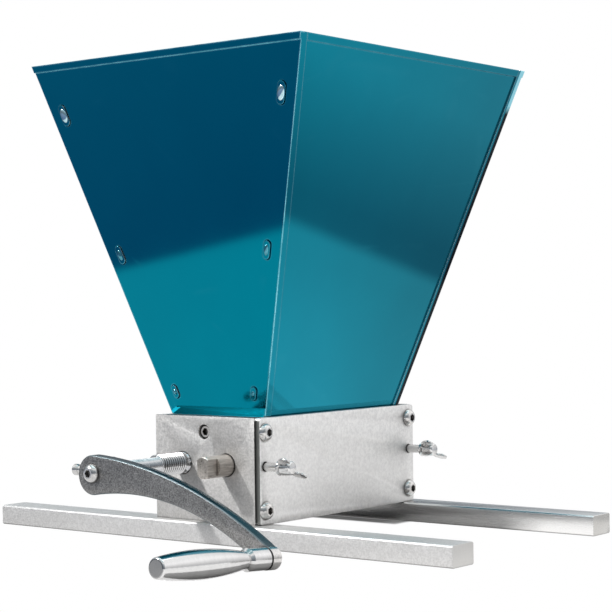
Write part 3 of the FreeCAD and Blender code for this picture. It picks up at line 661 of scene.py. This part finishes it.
# Width of the broken edges, in millimetres
broken_edges = {
    "front_end_plate": 0.5, "rear_end_plate": 0.5, "left_side_plate": 0.5,
    "right_side_plate": 0.9, "crank_arm": 0.35, "front_rail": 0.4, "rear_rail": 0.4,
}
for name, width in broken_edges.items():
    break_edges(copy_of(name, "_eased"), width * mm)

# Each level of tabs: share of the way down the panel, width, height and finish; the upper crowns'
# pale cyan finish is a painted highlight
tabs = (
    ("upper", 0.145, 5.0, 9.0, crown_painted_highlight),
    ("middle", 0.545, 3.0, 7.0, dull_film),
    ("lower", 0.935, 2.4, 4.0, dull_film),
)
for y_name, y_side in (("front", -1), ("rear", 1)):
    for x_name, x_side in (("left", -1), ("right", 1)):
        for level, *shape in tabs:
            tab_crown("_".join((y_name, x_name, level, "tab_crown")), x_side, y_side, *shape)
thin_wings("front_wing_screw", -1)
thin_wings("rear_wing_screw", 1)
thread_root()
drive_thread()


# Studio: pale table, bright surround, soft lamps


def stage_floor():
    """Pale table: white to the camera with a soft shadow, and to metal a bright table with edges.

    Near the mill and the grip, metal sees the table's true light and shade instead.
    """
    left_edge, left_soft, right_edge, right_soft = 0.618, 0.012, 0.515, 0.016
    white = (1, 1, 1, 1)
    deselect()
    bpy.ops.mesh.primitive_plane_add(size=60.0, location=(0, 0, -0.0004))
    floor = bpy.context.active_object
    floor.name = "table_floor"
    material = bpy.data.materials.new("table_white")
    material.use_nodes = True
    material.node_tree.nodes.clear()
    n = Nodes(material.node_tree)
    path = n.add("ShaderNodeLightPath").outputs
    part = n.axes(n.add("ShaderNodeTexCoord").outputs["Object"])

    def outside(x, y, half_x, half_y, soft):
        """0 on a rectangle of the table, rising to 1 around it."""
        across = n.math("ABSOLUTE", n.math("SUBTRACT", part[0], x))
        along = n.math("ABSOLUTE", n.math("SUBTRACT", part[1], y))
        beyond = n.math("MAXIMUM", n.math("SUBTRACT", across, half_x),
                        n.math("SUBTRACT", along, half_y))
        return n.remap(beyond, 0.0, soft)

    left_way = n.weigh(part[0], -0.52, part[1], -0.855)
    right_way = n.weigh(part[0], 0.776, part[1], 0.631)
    side_way = n.weigh(part[0], -0.631, part[1], 0.776)
    left = n.remap(left_way, left_edge - left_soft, left_edge + left_soft)
    right = n.remap(right_way, right_edge - right_soft, right_edge + right_soft)
    far_left = n.mix(n.remap(left_way, 0.65, 1.6), (0.20, 0.245, 0.385), (0.27, 0.32, 0.45))
    far_right = n.mix(n.remap(right_way, 0.60, 1.1), (0.38, 0.42, 0.48), (0.90, 0.92, 0.94))
    lit = n.mix(n.remap(right_way, 0.05, 0.45), (1.28, 1.28, 1.28), (0.97, 0.97, 0.97))
    table = n.mix(n.remap(right_way, 0.0, 0.06), (0.93, 0.94, 0.95), lit)
    seen = n.mix(right, n.mix(left, table, far_left), far_right)
    skew = n.math("DIVIDE", side_way, n.math("MAXIMUM", right_way, 0.02))
    glow = n.emission(seen, n.remap(skew, 0.14, 0.36, 1.0, 0.80))
    diffuse = n.add("ShaderNodeBsdfDiffuse", {"Color": (0.82, 0.82, 0.82, 1)}).outputs[0]

    around_mill = outside(0.0, 0.0, 0.110, 0.06, 0.030)
    around_grip = outside(0.11, -0.19, 0.04, 0.06, 0.05)
    to_metal = n.shader_mix(n.math("MINIMUM", around_mill, around_grip), diffuse, glow)
    lifted = n.add("ShaderNodeAddShader", {0: diffuse, 1: n.emission(white, 0.10)}).outputs[0]
    around_shadow = outside(0.0, 0.06, 0.040, 0.006, 0.005)
    to_camera = n.shader_mix(around_shadow, lifted, n.emission(white, 1.0))
    first = n.shader_mix(path["Is Camera Ray"], diffuse, to_camera)
    from_above = n.shader_mix(path["Is Glossy Ray"], first, to_metal)
    below = n.add("ShaderNodeNewGeometry").outputs["Backfacing"]
    clear = n.add("ShaderNodeBsdfTransparent").outputs[0]
    n.add("ShaderNodeOutputMaterial", {"Surface": n.shader_mix(below, from_above, clear)})
    floor.data.materials.append(material)


def studio_world():
    """White to the camera; to metal, brighter behind and to the right than in front."""
    right_behind, white = (0.62, 0.78, 0.0), (1, 1, 1, 1)
    world = bpy.data.worlds.new("studio")
    bpy.context.scene.world = world
    world.use_nodes = True
    world.node_tree.nodes.clear()
    n = Nodes(world.node_tree)
    path = n.add("ShaderNodeLightPath").outputs
    way = n.add("ShaderNodeTexCoord").outputs["Generated"]
    height = n.axes(way)[2]
    front = n.mix(n.remap(height, 0.12, 0.55), (0.19, 0.21, 0.235), (0.46, 0.52, 0.56))
    front = n.mix(n.remap(height, 0.56, 0.70), front, (1.15, 1.15, 1.15))
    front = n.mix(n.remap(height, 0.76, 0.88), front, (0.24, 0.46, 0.52))
    behind = n.mix(n.remap(height, 0.03, 0.40), (0.70, 0.70, 0.71), (1.32, 1.32, 1.33))
    seen = n.mix(n.remap(n.dot(way, right_behind), 0.3, 0.85), front, behind)
    lighting = n.background(white, 0.42)
    first = n.shader_mix(path["Is Glossy Ray"], lighting, n.background(seen, 1.0))
    second = n.shader_mix(path["Is Camera Ray"], first, n.background(white, 1.0))
    n.add("ShaderNodeOutputWorld", {"Surface": second})


def softbox(name, place, aim, size, watts):
    """Square lamp at a place, turned to its aim."""
    deselect()
    bpy.ops.object.light_add(type="AREA", location=place)
    lamp = bpy.context.active_object
    lamp.name = name
    lamp.data.shape = "RECTANGLE"
    lamp.data.size = size
    lamp.data.size_y = size
    lamp.data.energy = watts
    lamp.rotation_euler = (Vector(aim) - Vector(place)).to_track_quat("-Z", "Y").to_euler()


def photo_camera():
    """The photograph's eye point, worked out from the housing, rail and hopper corners."""
    eye = (0.678377, -0.842708, 0.13925)
    azimuth, elevation, roll = (math.radians(angle) for angle in (38.213, 0.159, -0.728))
    focal_pixels, image_pixels, sensor = 1759.637, 612, 36.0
    level = math.cos(elevation)
    back = Vector((math.sin(azimuth) * level, -math.cos(azimuth) * level, math.sin(elevation)))
    right = Vector((0, 0, 1)).cross(back).normalized()
    up = back.cross(right)
    turned_right = right * math.cos(roll) + up * math.sin(roll)
    turned_up = up * math.cos(roll) - right * math.sin(roll)
    deselect()
    bpy.ops.object.camera_add(location=eye)
    camera = bpy.context.active_object
    camera.name = "photo_eye"
    turn = Matrix((turned_right, turned_up, back)).transposed()
    camera.rotation_euler = turn.to_euler()
    camera.data.sensor_width = sensor
    camera.data.lens = sensor * focal_pixels / image_pixels
    camera.data.clip_start = 0.02
    camera.data.clip_end = 200.0
    bpy.context.scene.camera = camera


stage_floor()
studio_world()
softbox("top_softbox", (0.1, 0.1, 1.5), (0, 0, 0.1), 1.4, 7.0)
softbox("key_lamp", (-0.88, -1.24, 1.35), (0, -0.07, 0.05), 0.09, 52.0)
photo_camera()
scene = bpy.context.scene
scene.cycles.caustics_reflective = False
scene.cycles.sample_clamp_indirect = 1.4
scene.cycles.blur_glossy = 2.0
scene.view_settings.view_transform = "Standard"
